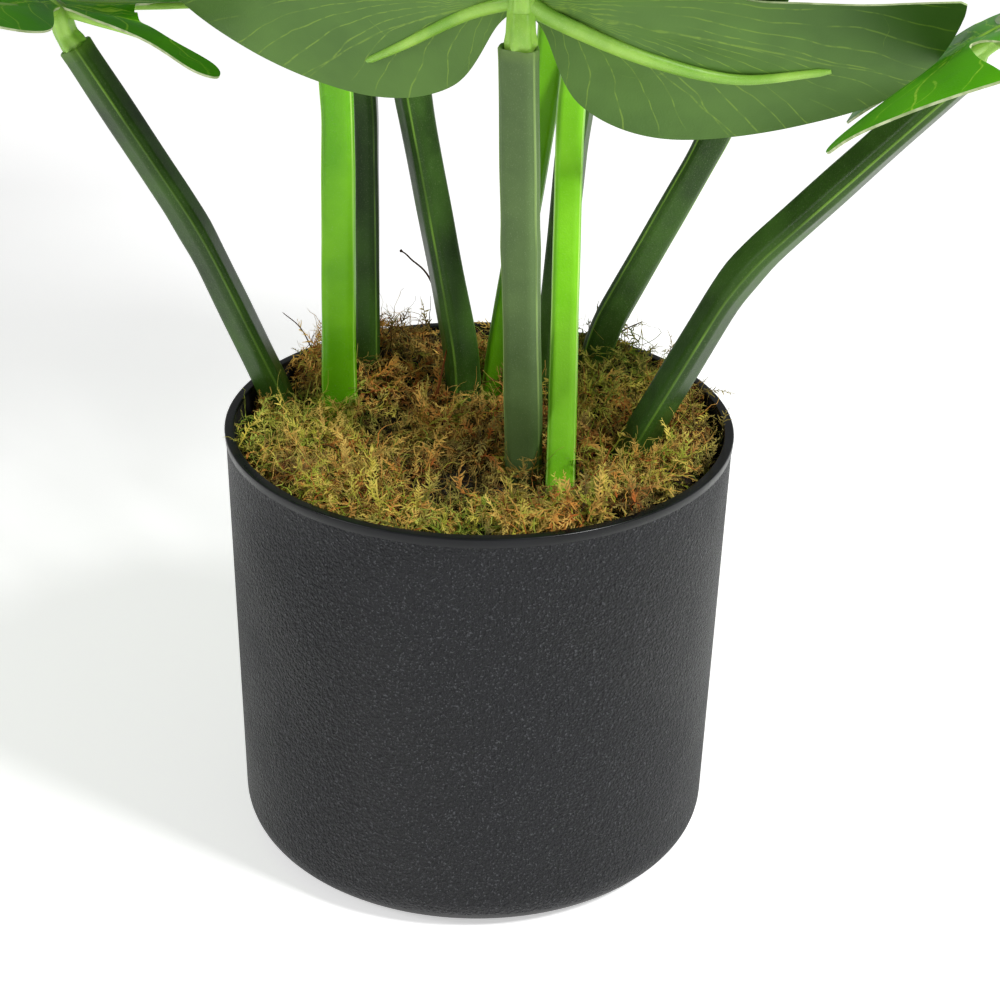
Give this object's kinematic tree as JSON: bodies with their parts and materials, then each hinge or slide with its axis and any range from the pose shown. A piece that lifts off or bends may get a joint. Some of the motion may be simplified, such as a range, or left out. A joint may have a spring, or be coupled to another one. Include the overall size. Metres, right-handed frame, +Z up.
{
  "type": "potted monstera plant",
  "caption": "Potted monstera plant: large split leaves on moulded stalks rise from mossy filling in a plain black cylindrical pot.",
  "frame": {"origin": "centre of the pot's flat underside", "axes": "+Z up along the pot's axis, -Y towards the low front leaf, +X to the plant's right as seen from the front"},
  "size_m": [0.5953, 0.4913, 0.7222],
  "materials": {
    "pot": "fine leather-like grain, charcoal black, satin lip",
    "plug": "raw cast filler",
    "moss": "dried brown and green moss",
    "stalk_dark": "satin dark green moulding with lighter ridges",
    "stalk_bright": "satin bright green moulding",
    "blade": "dark satin upper side with yellow-green veins, paler milky underside",
    "rib": "light green satin moulding"
  },
  "bodies": {
    "root": {"leaf_01": "blade", "leaf_02": "blade", "leaf_03": "blade", "leaf_04": "blade", "leaf_05": "blade", "leaf_06": "blade", "leaf_07": "blade", "leaf_08": "blade", "leaf_09": "blade", "leaf_10": "blade", "leaf_rib_01": "rib", "leaf_rib_02": "rib", "leaf_rib_03": "rib", "leaf_rib_04": "rib", "leaf_rib_05": "rib", "leaf_rib_06": "rib", "leaf_rib_07": "rib", "leaf_rib_08": "rib", "leaf_rib_09": "rib", "leaf_rib_10": "rib", "moss_bed": "moss", "planting_plug": "plug", "pot": "pot", "stalk_01": "stalk_dark", "stalk_02": "stalk_bright", "stalk_03": "stalk_dark", "stalk_04": "stalk_dark", "stalk_05": "stalk_dark", "stalk_06": "stalk_bright", "stalk_07": "stalk_bright", "stalk_08": "stalk_dark", "stalk_09": "stalk_dark", "stalk_10": "stalk_dark"}
  },
  "joints": []
}
